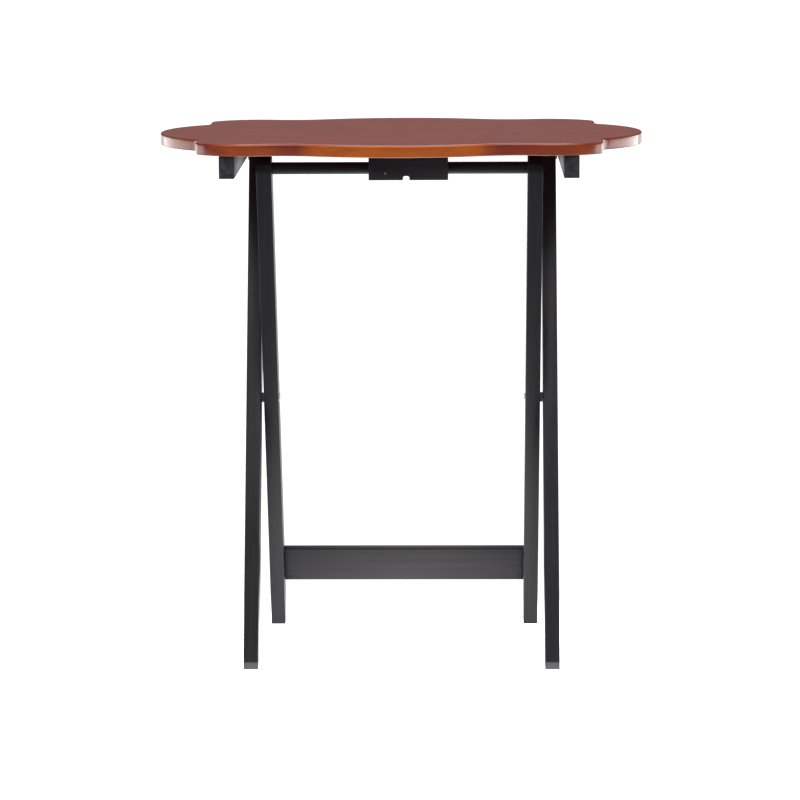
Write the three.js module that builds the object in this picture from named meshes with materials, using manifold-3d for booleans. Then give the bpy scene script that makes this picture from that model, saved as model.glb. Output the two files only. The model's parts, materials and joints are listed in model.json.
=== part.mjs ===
// Folding tray table: a scalloped wooden top on two crossed leg frames that fold like scissors.
// Millimetres. +X is the user's right, +Y is away from the user, +Z is up.
// The origin is on the floor, under the middle of the top.

import * as THREE from 'three';
import { mergeVertices } from 'three/addons/utils/BufferGeometryUtils.js';
import Module from 'manifold-3d';

const wasm = await Module();
wasm.setup();

// Overall sizes
const TABLE_HEIGHT = 660;
const TOP_THICKNESS = 15;
const TOP_HALF_WIDTH = 302.5;
const TOP_HALF_DEPTH = 202;
const TOP_CHAMFER = 2;
const GAP = 0.3;

// Scalloped outline, one quarter of it
const CENTRE_LOBE_RADIUS = 270;
const HOLLOW_RADIUS = 110;
const HOLLOW_DEPTH_FROM_MIDDLE = 174.5;
const CORNER_LOBE_RADIUS = 76;
const CORNER_LOBE_X = 188;
const CORNER_RADIUS = 16;
const STEP_X = 248.5;
const NOTCH_RADIUS = 18;
const SIDE_LOBE_RADIUS = 126.5;

// Leg frames
const LEG_THICKNESS = 18.5;
const LEG_WIDTH = 36;
const TOE_FACET = 10;
const OUTER_HALF_WIDTH = 197.5;
const INNER_HALF_WIDTH = 175.2;
const PIVOT_HEIGHT = 321;
const ROD_HEIGHT = 625.5;
const ROD_OFFSET = 122;
const ROD_RADIUS = 7.5;
const LEAN = Math.atan2(ROD_OFFSET, ROD_HEIGHT - PIVOT_HEIGHT);
const ROD_REACH = Math.hypot(ROD_OFFSET, ROD_HEIGHT - PIVOT_HEIGHT);
const INNER_LEG_FACE = INNER_HALF_WIDTH - LEG_THICKNESS;

// Lower stretcher, along the inner legs from the pivot
const STRETCHER_WIDTH = 48;
const STRETCHER_THICKNESS = 10;
const STRETCHER_REACH = 253;
const STRETCHER_SCREW_SPREAD = 13;
const STRETCHER_SCREW_SINK = 3;

// Pivot hardware
const PIVOT_BOLT_RADIUS = 3;
const PIVOT_NUT_RADIUS = 5;
const PIVOT_NUT_WALL_END = 3;
const PIVOT_SPACER_RADIUS = 6.2;
const REAR_WASHER_RADIUS = 13;

// Battens under the top
const UNDERSIDE = TABLE_HEIGHT - TOP_THICKNESS;
const BATTEN_INNER_X = 200;
const BATTEN_WIDTH = 18.8;
const BATTEN_HEIGHT = 28;
const BATTEN_HALF_LENGTH = 169.5;
const BATTEN_SOCKET_DEPTH = 12;
const BATTEN_SCREW_SPACING = 150;

// Catch block that the front rod sits in
const BLOCK_CENTRE_X = 11;
const BLOCK_WIDTH = 97;
const BLOCK_BOTTOM = 613.2;
const BLOCK_FRONT_Y = -152;
const BLOCK_BACK_Y = -100;
const BLOCK_SCREW_SPREAD = 34;
const BLOCK_SCREW_Y = -141;
const CLIP_X = 8.3;
const CLIP_WIDTH = 7;
const CLIP_THICKNESS = 0.8;
const CLIP_CHANNEL_WIDTH = 8;
const CLIP_CHANNEL_DEPTH = 4;
const CLIP_WEB_HEIGHT = 10;
const NOTCH_HEIGHT = 6;

// Fasteners
const WOOD_SCREW = { headRadius: 4, headHeight: 2.6, shankRadius: 2, length: 30 };
const SMALL_SCREW = { headRadius: 2.4, headHeight: 1.2, shankRadius: 1.3, length: 7 };
const BRAD = { headRadius: 1.8, headHeight: 0.8, shankRadius: 1, length: 14 };
const ROUND_SEGMENTS = 20;
const ARC_SEGMENTS = 8;

const materials = {
  cherry: new THREE.MeshStandardMaterial({ color: 0x8f3a22, roughness: 0.25, metalness: 0 }),
  blackPaint: new THREE.MeshStandardMaterial({ color: 0x17171a, roughness: 0.4, metalness: 0 }),
  steel: new THREE.MeshStandardMaterial({ color: 0xa8a8ab, roughness: 0.35, metalness: 1 }),
  nylon: new THREE.MeshStandardMaterial({ color: 0x4a4a4e, roughness: 0.6, metalness: 0 }),
};

const table = new THREE.Group();
const outerFrame = new THREE.Group();
const innerFrame = new THREE.Group();
outerFrame.position.z = PIVOT_HEIGHT;
outerFrame.rotation.x = -LEAN;
innerFrame.position.z = PIVOT_HEIGHT;
innerFrame.rotation.x = LEAN;
table.add(outerFrame, innerFrame);

function addMesh(parent, name, geometry, material, position = [0, 0, 0]) {
  const mesh = new THREE.Mesh(geometry, material);
  mesh.name = name;
  mesh.position.set(...position);
  parent.add(mesh);
  return mesh;
}

// ---- Solids ----

function toManifold(geometry) {
  const bare = geometry.clone();
  bare.deleteAttribute('normal');
  bare.deleteAttribute('uv');
  const merged = mergeVertices(bare, 1e-4);
  const vertProperties = new Float32Array(merged.attributes.position.array);
  const triVerts = new Uint32Array(merged.index.array);
  return new wasm.Manifold(new wasm.Mesh({ numProp: 3, vertProperties, triVerts }));
}

function cut(geometry, tools) {
  let solid = toManifold(geometry);
  for (const tool of tools) {
    solid = solid.subtract(toManifold(tool));
  }
  const mesh = solid.getMesh();
  const result = new THREE.BufferGeometry();
  result.setAttribute('position', new THREE.BufferAttribute(mesh.vertProperties, 3));
  result.setIndex(new THREE.BufferAttribute(mesh.triVerts, 1));
  result.computeVertexNormals();
  return result;
}

// A side view drawn in (y, z) and carried along +X from x = 0
function extrudeAlongX(shape, length) {
  const options = { depth: length, bevelEnabled: false, curveSegments: ARC_SEGMENTS };
  const geometry = new THREE.ExtrudeGeometry(shape, options);
  const sideways = new THREE.Matrix4().makeBasis(
    new THREE.Vector3(0, 1, 0),
    new THREE.Vector3(0, 0, 1),
    new THREE.Vector3(1, 0, 0),
  );
  return geometry.applyMatrix4(sideways);
}

function rodAlongX(radius, length) {
  return new THREE.CylinderGeometry(radius, radius, length, ROUND_SEGMENTS).rotateZ(Math.PI / 2);
}

function box(low, high) {
  const size = high.map((value, i) => value - low[i]);
  const middle = high.map((value, i) => (value + low[i]) / 2);
  return new THREE.BoxGeometry(...size).translate(...middle);
}

// A vertical drilled hole, as the solid to take away
function drill(radius, x, y, zLow, zHigh) {
  const geometry = new THREE.CylinderGeometry(radius, radius, zHigh - zLow, 12).rotateX(Math.PI / 2);
  return geometry.translate(x, y, (zLow + zHigh) / 2);
}

function circle(radius, y = 0, z = 0) {
  return new THREE.Path().absarc(y, z, radius, 0, 2 * Math.PI);
}

function ringShape(outerRadius, innerRadius) {
  const shape = new THREE.Shape().absarc(0, 0, outerRadius, 0, 2 * Math.PI);
  shape.holes.push(circle(innerRadius));
  return shape;
}

// A screw along +Y: the underside of its domed head is at y = 0 and its point is at y = length
function screwGeometry({ headRadius, headHeight, shankRadius, length }) {
  const pointLength = 2.5 * shankRadius;
  const profile = [
    [0, -headHeight],
    [headRadius * 0.6, -headHeight * 0.85],
    [headRadius, -headHeight * 0.3],
    [headRadius, 0],
    [shankRadius, 0],
    [shankRadius, length - pointLength],
    [0, length],
  ];
  return new THREE.LatheGeometry(profile.map(([r, y]) => new THREE.Vector2(r, y)), 12);
}

// ---- Top ----

function arcPoints(centreX, centreY, radius, startAngle, endAngle, segments) {
  const points = [];
  for (let i = 0; i <= segments; i += 1) {
    const angle = startAngle + ((endAngle - startAngle) * i) / segments;
    points.push(new THREE.Vector2(centreX + radius * Math.cos(angle), centreY + radius * Math.sin(angle)));
  }
  return points;
}

// From the middle of the side lobe round to the middle of the back edge. Neighbouring arcs share a tangent.
function quarterOutline() {
  const sideX = TOP_HALF_WIDTH - SIDE_LOBE_RADIUS;
  const notchX = STEP_X + NOTCH_RADIUS;
  const notchY = Math.sqrt((SIDE_LOBE_RADIUS + NOTCH_RADIUS) ** 2 - (notchX - sideX) ** 2);
  const sideEnd = Math.atan2(notchY, notchX - sideX);

  const centreY = TOP_HALF_DEPTH - CENTRE_LOBE_RADIUS;
  const hollowY = HOLLOW_DEPTH_FROM_MIDDLE + HOLLOW_RADIUS;
  const hollowX = Math.sqrt((CENTRE_LOBE_RADIUS + HOLLOW_RADIUS) ** 2 - (hollowY - centreY) ** 2);
  const centreEnd = Math.atan2(hollowY - centreY, hollowX);

  const lobeSpan = CORNER_LOBE_X - hollowX;
  const lobeY = hollowY - Math.sqrt((HOLLOW_RADIUS + CORNER_LOBE_RADIUS) ** 2 - lobeSpan ** 2);
  const lobeEnd = Math.atan2(hollowY - lobeY, -lobeSpan);

  const cornerX = STEP_X - CORNER_RADIUS;
  const innerReach = CORNER_LOBE_RADIUS - CORNER_RADIUS;
  const cornerY = lobeY + Math.sqrt(innerReach ** 2 - (cornerX - CORNER_LOBE_X) ** 2);
  const cornerEnd = Math.atan2(cornerY - lobeY, cornerX - CORNER_LOBE_X);

  return [
    ...arcPoints(sideX, 0, SIDE_LOBE_RADIUS, 0, sideEnd, 9),
    ...arcPoints(notchX, notchY, NOTCH_RADIUS, sideEnd - Math.PI, -Math.PI, 5).slice(1),
    ...arcPoints(cornerX, cornerY, CORNER_RADIUS, 0, cornerEnd, 5),
    ...arcPoints(CORNER_LOBE_X, lobeY, CORNER_LOBE_RADIUS, cornerEnd, lobeEnd, 7).slice(1),
    ...arcPoints(hollowX, hollowY, HOLLOW_RADIUS, lobeEnd - Math.PI, centreEnd - Math.PI, 5).slice(1),
    ...arcPoints(0, centreY, CENTRE_LOBE_RADIUS, centreEnd, Math.PI / 2, 5).slice(1),
  ];
}

function topOutline() {
  const quarter = quarterOutline();
  const across = quarter.slice(0, -1).reverse().map((p) => new THREE.Vector2(-p.x, p.y));
  const back = [...quarter, ...across];
  const front = back.slice(1, -1).reverse().map((p) => new THREE.Vector2(p.x, -p.y));
  return new THREE.Shape([...back, ...front]);
}

const battenScrewYs = { front: -BATTEN_SCREW_SPACING, middle: 0, rear: BATTEN_SCREW_SPACING };
const sides = { left: -1, right: 1 };
const battenScrewX = BATTEN_INNER_X + BATTEN_WIDTH / 2;
const battenBottom = UNDERSIDE - BATTEN_HEIGHT;
const battenScrewSeat = battenBottom + 8;
const blockScrewSeat = BLOCK_BOTTOM + 8;

// The screw whose head sits at seat reaches this high in the top
function pilotTop(seat) {
  return seat + WOOD_SCREW.length + 1;
}

function makeTop() {
  const plate = new THREE.ExtrudeGeometry(topOutline(), {
    depth: TOP_THICKNESS - 2 * TOP_CHAMFER,
    bevelThickness: TOP_CHAMFER,
    bevelSize: TOP_CHAMFER,
    bevelOffset: -TOP_CHAMFER,
    bevelSegments: 1,
  });
  plate.translate(0, 0, UNDERSIDE + TOP_CHAMFER);
  const pilotRadius = WOOD_SCREW.shankRadius + GAP;
  const pilots = [];
  for (const sign of Object.values(sides)) {
    for (const y of Object.values(battenScrewYs)) {
      pilots.push(drill(pilotRadius, sign * battenScrewX, y, UNDERSIDE - 1, pilotTop(battenScrewSeat)));
    }
    const blockScrewX = BLOCK_CENTRE_X + sign * BLOCK_SCREW_SPREAD;
    pilots.push(drill(pilotRadius, blockScrewX, BLOCK_SCREW_Y, UNDERSIDE - 1, pilotTop(blockScrewSeat)));
  }
  addMesh(table, 'tabletop', cut(plate, pilots), materials.cherry);
}

// ---- Battens ----

// A screw hole from below: a wide counterbore for the head, and a clear hole above it
function counterbore(x, y, bottom, seat, top) {
  return [
    drill(WOOD_SCREW.headRadius + GAP, x, y, bottom - 1, seat + GAP),
    drill(WOOD_SCREW.shankRadius + GAP, x, y, seat, top + 1),
  ];
}

function addUprightScrew(name, size, x, y, seat) {
  const screw = addMesh(table, name, screwGeometry(size), materials.steel, [x, y, seat]);
  screw.rotation.x = Math.PI / 2;
}

function makeBattens() {
  for (const [side, sign] of Object.entries(sides)) {
    const inner = sign * BATTEN_INNER_X;
    const outer = sign * (BATTEN_INNER_X + BATTEN_WIDTH);
    const bar = box(
      [Math.min(inner, outer), -BATTEN_HALF_LENGTH, battenBottom],
      [Math.max(inner, outer), BATTEN_HALF_LENGTH, UNDERSIDE - GAP],
    );
    const socket = rodAlongX(ROD_RADIUS + GAP, 2 * BATTEN_SOCKET_DEPTH);
    const tools = [socket.translate(inner, ROD_OFFSET, ROD_HEIGHT)];
    for (const y of Object.values(battenScrewYs)) {
      tools.push(...counterbore(sign * battenScrewX, y, battenBottom, battenScrewSeat, UNDERSIDE));
    }
    addMesh(table, `batten_${side}`, cut(bar, tools), materials.blackPaint);
    for (const [place, y] of Object.entries(battenScrewYs)) {
      const name = `batten_screw_${side}_${place}`;
      addUprightScrew(name, WOOD_SCREW, sign * battenScrewX, y, battenScrewSeat);
    }
  }
}

// ---- Catch block and its spring clip ----

const seatHeight = ROD_HEIGHT + ROD_RADIUS + GAP;
const stopY = -ROD_OFFSET - ROD_RADIUS - GAP;
const bradX = BLOCK_CENTRE_X - 28;
const bradHeight = BLOCK_BOTTOM + 8.5;
const clipWebZ = ROD_HEIGHT + CLIP_WEB_HEIGHT;

// Side view: a stop in front of the rod, and a seat over it that is open to the rear
function blockShape() {
  const top = UNDERSIDE - GAP;
  const shape = new THREE.Shape();
  shape.moveTo(BLOCK_FRONT_Y, BLOCK_BOTTOM);
  shape.lineTo(stopY, BLOCK_BOTTOM);
  shape.lineTo(stopY, seatHeight);
  shape.lineTo(BLOCK_BACK_Y, seatHeight);
  shape.lineTo(BLOCK_BACK_Y, top);
  shape.lineTo(BLOCK_FRONT_Y, top);
  shape.closePath();
  return shape;
}

// Front view of the notch under the block: straight sides and a round top
function notchTool() {
  const radius = CLIP_CHANNEL_WIDTH / 2;
  const shape = new THREE.Shape();
  shape.moveTo(-radius, -1);
  shape.lineTo(radius, -1);
  shape.lineTo(radius, NOTCH_HEIGHT - radius);
  shape.absarc(0, NOTCH_HEIGHT - radius, radius, 0, Math.PI);
  shape.closePath();
  const depth = stopY - BLOCK_FRONT_Y + 2;
  const options = { depth, bevelEnabled: false, curveSegments: ARC_SEGMENTS };
  const geometry = new THREE.ExtrudeGeometry(shape, options);
  return geometry.rotateX(Math.PI / 2).translate(CLIP_X, stopY + 1, BLOCK_BOTTOM);
}

function makeCatchBlock() {
  const left = BLOCK_CENTRE_X - BLOCK_WIDTH / 2;
  const body = extrudeAlongX(blockShape(), BLOCK_WIDTH).translate(left, 0, 0);
  const channelTop = clipWebZ + CLIP_THICKNESS / 2 + GAP;
  const channel = box(
    [CLIP_X - CLIP_CHANNEL_WIDTH / 2, stopY - CLIP_CHANNEL_DEPTH, BLOCK_BOTTOM - 1],
    [CLIP_X + CLIP_CHANNEL_WIDTH / 2, BLOCK_BACK_Y + 1, channelTop],
  );
  const clipPilot = drill(SMALL_SCREW.shankRadius + GAP, CLIP_X, -ROD_OFFSET, clipWebZ, clipWebZ + 8);
  const bradHole = new THREE.CylinderGeometry(BRAD.shankRadius + GAP, BRAD.shankRadius + GAP, 32, 12);
  bradHole.translate(bradX, BLOCK_FRONT_Y, bradHeight);
  const bradSeat = new THREE.CylinderGeometry(BRAD.headRadius + GAP, BRAD.headRadius + GAP, 2, 12);
  bradSeat.translate(bradX, BLOCK_FRONT_Y, bradHeight);
  const tools = [channel, notchTool(), clipPilot, bradHole, bradSeat];
  for (const [side, sign] of Object.entries(sides)) {
    const x = BLOCK_CENTRE_X + sign * BLOCK_SCREW_SPREAD;
    tools.push(...counterbore(x, BLOCK_SCREW_Y, BLOCK_BOTTOM, blockScrewSeat, UNDERSIDE));
    addUprightScrew(`catch_block_screw_${side}`, WOOD_SCREW, x, BLOCK_SCREW_Y, blockScrewSeat);
  }
  addMesh(table, 'catch_block', cut(body, tools), materials.blackPaint);
  const bradSeatY = BLOCK_FRONT_Y + 1 - GAP;
  addMesh(table, 'catch_block_brad', screwGeometry(BRAD), materials.steel, [bradX, bradSeatY, bradHeight]);
}

// Half of the clip's middle line, in front of the rod: web, arm, grip and flared lip
function clipHalfLine() {
  return [
    [0, CLIP_WEB_HEIGHT],
    [4.5, CLIP_WEB_HEIGHT],
    [7.6, 8.2],
    [9.2, 4.5],
    [9.3, 0],
    [8.3, -4.8],
    [9.6, -7.6],
    [11, -9.4],
  ];
}

// The strip's outline: its middle line moved half a thickness to each side
function stripShape(line, thickness) {
  const faces = { upper: [], lower: [] };
  line.forEach((point, i) => {
    const before = line[Math.max(i - 1, 0)];
    const after = line[Math.min(i + 1, line.length - 1)];
    const normal = new THREE.Vector2(before.y - after.y, after.x - before.x).normalize();
    faces.upper.push(point.clone().addScaledVector(normal, thickness / 2));
    faces.lower.unshift(point.clone().addScaledVector(normal, -thickness / 2));
  });
  return new THREE.Shape([...faces.upper, ...faces.lower]);
}

function makeSpringClip() {
  const half = clipHalfLine();
  const front = half.slice(1).reverse().map(([y, z]) => new THREE.Vector2(-y, z));
  const back = half.map(([y, z]) => new THREE.Vector2(y, z));
  const strip = extrudeAlongX(stripShape([...front, ...back], CLIP_THICKNESS), CLIP_WIDTH);
  strip.translate(CLIP_X - CLIP_WIDTH / 2, -ROD_OFFSET, ROD_HEIGHT);
  const hole = drill(SMALL_SCREW.shankRadius + GAP, CLIP_X, -ROD_OFFSET, clipWebZ - 2, clipWebZ + 2);
  addMesh(table, 'spring_clip', cut(strip, [hole]), materials.steel);
  const screwSeat = clipWebZ - CLIP_THICKNESS / 2 - GAP;
  addUprightScrew('spring_clip_screw', SMALL_SCREW, CLIP_X, -ROD_OFFSET, screwSeat);
}

// ---- Leg frames, drawn about the pivot with the leg upright ----

// Side view of a leg. toeSide is -1 where the toe points forward and 1 where it points back.
function legShape(toeSide, pivotHoleRadius) {
  const half = LEG_WIDTH / 2;
  const floorZ = (reach) => (-PIVOT_HEIGHT - reach * Math.sin(LEAN)) / Math.cos(LEAN);
  const facetTop = floorZ(half) + TOE_FACET / Math.cos(LEAN);
  const facetInset = TOE_FACET * Math.sin(LEAN);
  const shape = new THREE.Shape();
  shape.moveTo(-toeSide * half, floorZ(-half));
  shape.lineTo(-toeSide * half, ROD_REACH);
  shape.absarc(0, ROD_REACH, half, toeSide < 0 ? 0 : Math.PI, toeSide < 0 ? Math.PI : 0, toeSide > 0);
  shape.lineTo(toeSide * half, facetTop);
  shape.lineTo(toeSide * (half - facetInset), floorZ(half - facetInset));
  shape.closePath();
  shape.holes.push(circle(pivotHoleRadius), circle(ROD_RADIUS + GAP, 0, ROD_REACH));
  return shape;
}

function addAlongX(parent, name, geometry, material, sign, x, y, z) {
  const mesh = addMesh(parent, name, geometry, material, [sign * x, y, z]);
  mesh.rotation.z = (-sign * Math.PI) / 2;
}

// A sleeve nut along +Y, open at y = 0 and closed at its far end
function sleeveNutGeometry(length) {
  const bore = PIVOT_BOLT_RADIUS + GAP;
  const profile = [
    [0, length - PIVOT_NUT_WALL_END],
    [bore, length - PIVOT_NUT_WALL_END],
    [bore, 0],
    [PIVOT_NUT_RADIUS, 0],
    [PIVOT_NUT_RADIUS, length],
    [0, length],
  ];
  return new THREE.LatheGeometry(profile.map(([r, y]) => new THREE.Vector2(r, y)), ROUND_SEGMENTS);
}

function makeOuterFrame() {
  const shape = legShape(-1, PIVOT_NUT_RADIUS + GAP);
  const legGap = OUTER_HALF_WIDTH - LEG_THICKNESS - INNER_HALF_WIDTH;
  const washerThickness = BATTEN_INNER_X - OUTER_HALF_WIDTH - 2 * GAP;
  const spacerThickness = legGap - 2 * GAP;
  for (const [side, sign] of Object.entries(sides)) {
    const legX = sign > 0 ? OUTER_HALF_WIDTH - LEG_THICKNESS : -OUTER_HALF_WIDTH;
    const leg = extrudeAlongX(shape, LEG_THICKNESS);
    addMesh(outerFrame, `outer_leg_${side}`, leg, materials.blackPaint, [legX, 0, 0]);

    const nut = sleeveNutGeometry(LEG_THICKNESS - GAP);
    const nutX = OUTER_HALF_WIDTH - LEG_THICKNESS;
    addAlongX(outerFrame, `pivot_nut_${side}`, nut, materials.steel, sign, nutX, 0, 0);

    const spacer = extrudeAlongX(ringShape(PIVOT_SPACER_RADIUS, PIVOT_BOLT_RADIUS + GAP), spacerThickness);
    const spacerX = sign * (INNER_HALF_WIDTH + legGap / 2) - spacerThickness / 2;
    addMesh(outerFrame, `pivot_spacer_${side}`, spacer, materials.nylon, [spacerX, 0, 0]);

    const washer = extrudeAlongX(ringShape(REAR_WASHER_RADIUS, ROD_RADIUS + GAP), washerThickness);
    const washerX = sign * (OUTER_HALF_WIDTH + GAP + washerThickness / 2) - washerThickness / 2;
    addMesh(outerFrame, `rear_washer_${side}`, washer, materials.nylon, [washerX, 0, ROD_REACH]);
  }
  const rearRodLength = 2 * (BATTEN_INNER_X + BATTEN_SOCKET_DEPTH - 2 * GAP);
  const rearRod = rodAlongX(ROD_RADIUS, rearRodLength);
  addMesh(outerFrame, 'rear_rod', rearRod, materials.blackPaint, [0, 0, ROD_REACH]);
}

function makeInnerFrame() {
  const shape = legShape(1, PIVOT_BOLT_RADIUS + GAP);
  const stretcherScrewZs = {
    upper: -STRETCHER_REACH + STRETCHER_SCREW_SPREAD,
    lower: -STRETCHER_REACH - STRETCHER_SCREW_SPREAD,
  };
  const screwHole = WOOD_SCREW.shankRadius + GAP;
  for (const z of Object.values(stretcherScrewZs)) {
    shape.holes.push(circle(screwHole, 0, z));
  }
  const boltLength = OUTER_HALF_WIDTH - INNER_LEG_FACE - PIVOT_NUT_WALL_END - 2;
  const boltSize = { headRadius: 5.2, headHeight: 1.4, shankRadius: PIVOT_BOLT_RADIUS, length: boltLength };
  const stretcherEnd = INNER_LEG_FACE - GAP;
  const pilots = [];
  for (const [side, sign] of Object.entries(sides)) {
    const legX = sign > 0 ? INNER_LEG_FACE : -INNER_HALF_WIDTH;
    const outerFace = sign > 0 ? LEG_THICKNESS : 0;
    const sinks = Object.values(stretcherScrewZs).map((z) =>
      rodAlongX(WOOD_SCREW.headRadius + GAP, 2 * STRETCHER_SCREW_SINK).translate(outerFace, 0, z),
    );
    const leg = cut(extrudeAlongX(shape, LEG_THICKNESS), sinks);
    addMesh(innerFrame, `inner_leg_${side}`, leg, materials.blackPaint, [legX, 0, 0]);

    const bolt = screwGeometry(boltSize);
    addAlongX(innerFrame, `pivot_bolt_${side}`, bolt, materials.steel, sign, INNER_LEG_FACE - GAP, 0, 0);

    for (const [place, z] of Object.entries(stretcherScrewZs)) {
      const name = `stretcher_screw_${side}_${place}`;
      const screw = addMesh(innerFrame, name, screwGeometry(WOOD_SCREW), materials.steel);
      const screwSeat = INNER_HALF_WIDTH - STRETCHER_SCREW_SINK + GAP;
      screw.position.set(sign * screwSeat, 0, z);
      screw.rotation.z = (sign * Math.PI) / 2;
      pilots.push(rodAlongX(screwHole, 2 * WOOD_SCREW.length + 2).translate(sign * screwSeat, 0, z));
    }
  }
  const board = box(
    [-stretcherEnd, -STRETCHER_THICKNESS / 2, -STRETCHER_REACH - STRETCHER_WIDTH / 2],
    [stretcherEnd, STRETCHER_THICKNESS / 2, -STRETCHER_REACH + STRETCHER_WIDTH / 2],
  );
  addMesh(innerFrame, 'lower_stretcher', cut(board, pilots), materials.blackPaint);

  const frontRod = rodAlongX(ROD_RADIUS, 2 * INNER_HALF_WIDTH);
  addMesh(innerFrame, 'front_rod', frontRod, materials.blackPaint, [0, 0, ROD_REACH]);
}

makeTop();
makeBattens();
makeCatchBlock();
makeSpringClip();
makeOuterFrame();
makeInnerFrame();

export default table;
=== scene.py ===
import json
import math

import bmesh
import bpy
from mathutils import Matrix, Vector


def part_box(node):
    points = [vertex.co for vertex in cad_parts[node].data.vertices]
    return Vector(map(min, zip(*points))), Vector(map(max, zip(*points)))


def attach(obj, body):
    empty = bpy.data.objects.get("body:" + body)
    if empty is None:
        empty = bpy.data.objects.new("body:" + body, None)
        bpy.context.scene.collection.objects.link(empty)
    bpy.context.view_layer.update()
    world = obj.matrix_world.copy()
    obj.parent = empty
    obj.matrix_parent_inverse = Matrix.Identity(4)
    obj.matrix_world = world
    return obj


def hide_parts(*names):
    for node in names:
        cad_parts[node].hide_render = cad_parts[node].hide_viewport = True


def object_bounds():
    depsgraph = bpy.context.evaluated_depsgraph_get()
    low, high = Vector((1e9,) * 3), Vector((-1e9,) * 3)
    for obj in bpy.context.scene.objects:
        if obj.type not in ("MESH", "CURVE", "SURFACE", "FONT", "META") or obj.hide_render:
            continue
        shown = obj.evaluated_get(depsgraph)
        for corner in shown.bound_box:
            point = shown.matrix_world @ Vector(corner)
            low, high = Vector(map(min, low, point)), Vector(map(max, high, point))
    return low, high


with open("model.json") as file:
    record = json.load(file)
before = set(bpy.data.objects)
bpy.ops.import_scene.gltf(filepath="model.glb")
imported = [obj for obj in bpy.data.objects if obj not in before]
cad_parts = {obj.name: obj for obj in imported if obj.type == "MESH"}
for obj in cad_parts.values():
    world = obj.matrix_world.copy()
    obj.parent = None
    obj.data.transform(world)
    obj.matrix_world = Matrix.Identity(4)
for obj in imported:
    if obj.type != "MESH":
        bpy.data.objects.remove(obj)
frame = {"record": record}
cad_low, cad_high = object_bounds()

JOINTS = {j["name"]: j for j in frame["record"]["behaviour"]["joints"]}
PIVOT = Vector(JOINTS["leg_fold"]["pos_m"])
REAR_ROD = Vector(JOINTS["top_turn"]["pos_m"])
LEAN = math.atan2(REAR_ROD.y, REAR_ROD.z - PIVOT.z)
ROD_REACH = math.hypot(REAR_ROD.y, REAR_ROD.z - PIVOT.z)
LEG_HALF_WIDTH = 0.018
LEG_BEVEL = 0.0007
TOE_FACET = 0.010
ROD_RADIUS = 0.0075
GAP = 0.0003
OVERRUN = 0.002
SMOOTH_ANGLE = 35.0
PLAIN = (1.0, 1.0, 1.0)
WOOD_SCREW = {"radius": 0.004, "height": 0.0026, "shank_radius": 0.002, "length": 0.030}
SMALL_SCREW = {"radius": 0.0024, "height": 0.0012, "shank_radius": 0.0013, "length": 0.007}
SCREW_POCKET_RADIUS = WOOD_SCREW["radius"] + GAP
SIDES = {"left": -1, "right": 1}


# ---------------------------------------------------------------- node helpers

class Nodes:
    """A small wrapper that adds shader nodes and links them."""

    def __init__(self, tree):
        self.tree = tree

    def add(self, kind, inputs=None, **settings):
        node = self.tree.nodes.new(kind)
        for name, value in settings.items():
            setattr(node, name, value)
        for name, value in (inputs or {}).items():
            if isinstance(value, bpy.types.NodeSocket):
                self.tree.links.new(value, node.inputs[name])
            else:
                node.inputs[name].default_value = value
        return node

    def stretched(self, scale, lean=0.0):
        coords = self.add("ShaderNodeTexCoord").outputs["Object"]
        if lean:
            turn = (lean, 0.0, 0.0)
            coords = self.add("ShaderNodeMapping", {"Vector": coords, "Rotation": turn}).outputs[0]
        return self.add("ShaderNodeMapping", {"Vector": coords, "Scale": scale}).outputs[0]

    def noise(self, vector, scale, detail=3.0, roughness=0.5, distortion=0.0):
        node = self.add("ShaderNodeTexNoise", {
            "Vector": vector, "Scale": scale, "Detail": detail,
            "Roughness": roughness, "Distortion": distortion,
        })
        return node.outputs["Fac"]

    def ramp(self, fac, stops):
        node = self.add("ShaderNodeValToRGB", {"Fac": fac})
        elements = node.color_ramp.elements
        while len(elements) < len(stops):
            elements.new(0.5)
        for element, (place, colour) in zip(elements, stops):
            element.position = place
            element.color = (*colour, 1.0) if len(colour) == 3 else colour
        return node.outputs["Color"]

    def grey(self, fac, low_place, high_place, low=0.0, high=1.0):
        node = self.add("ShaderNodeMapRange", {
            "Value": fac, "From Min": low_place, "From Max": high_place, "To Min": low, "To Max": high,
        })
        return node.outputs["Result"]

    def mix(self, fac, a, b, blend="MIX"):
        node = self.add("ShaderNodeMix", data_type="RGBA", blend_type=blend)
        for socket, value in ((node.inputs[0], fac), (node.inputs[6], a), (node.inputs[7], b)):
            if isinstance(value, bpy.types.NodeSocket):
                self.tree.links.new(value, socket)
            elif socket.type == "RGBA":
                socket.default_value = (*value, 1.0)
            else:
                socket.default_value = value
        return node.outputs[2]

    def maths(self, operation, a, b=0.0):
        return self.add("ShaderNodeMath", {0: a, 1: b}, operation=operation).outputs[0]


def material(name):
    mat = bpy.data.materials.new(name)
    mat.use_nodes = True
    tree = mat.node_tree
    tree.nodes.clear()
    nodes = Nodes(tree)
    shader = nodes.add("ShaderNodeBsdfPrincipled")
    nodes.add("ShaderNodeOutputMaterial", {"Surface": shader.outputs[0]})
    return mat, nodes, shader


def connect(nodes, shader, **sockets):
    for name, value in sockets.items():
        nodes.tree.links.new(value, shader.inputs[name.replace("_", " ")])


# Pointiness mask for sharp edges: wear on the paint, metal and nylon, and a painted highlight on the cherry.
def edge_wear_and_highlight(nodes, low, high):
    geometry = nodes.add("ShaderNodeNewGeometry")
    return nodes.grey(geometry.outputs["Pointiness"], low, high)


# ---------------------------------------------------------------- materials

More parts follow.
